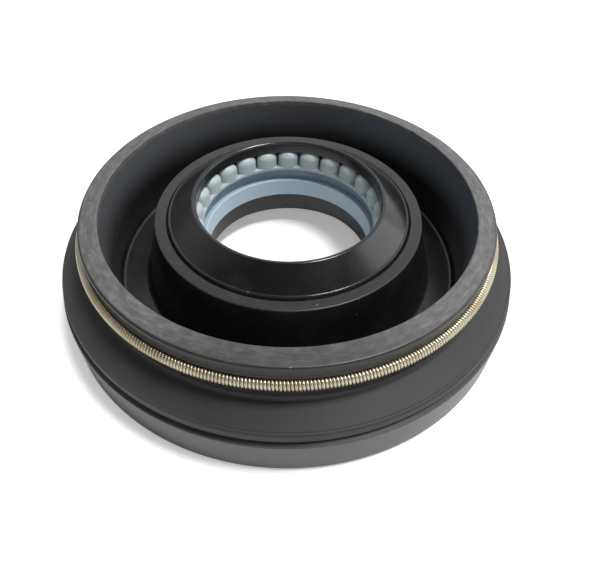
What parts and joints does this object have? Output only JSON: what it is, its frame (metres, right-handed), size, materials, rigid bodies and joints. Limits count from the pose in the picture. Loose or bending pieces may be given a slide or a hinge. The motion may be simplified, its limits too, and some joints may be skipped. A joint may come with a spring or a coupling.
{
  "type": "oil seal",
  "caption": "Round flanged rubber oil seal with an upstanding lip held in by a garter spring, an annular trough, and a hub whose bore carries a lugged bush.",
  "frame": {"origin": "centre of the seal's seat, on its axis, in the plane that the skirt rests on", "axes": "+Z along the seal's axis, from the seat towards the lip's rim; the lugs start on +Y"},
  "size_m": [0.071, 0.071, 0.0165],
  "materials": {
    "rubber": "moulded black nitrile rubber, satin with a matt ground rim",
    "spring_wire": "drawn spring wire with a yellowed passivated finish",
    "bush_plastic": "pale blue moulded plastic, satin"
  },
  "bodies": {
    "root": {"seal_body": "rubber", "garter_spring": "spring_wire", "bore_bush": "bush_plastic"}
  },
  "joints": []
}
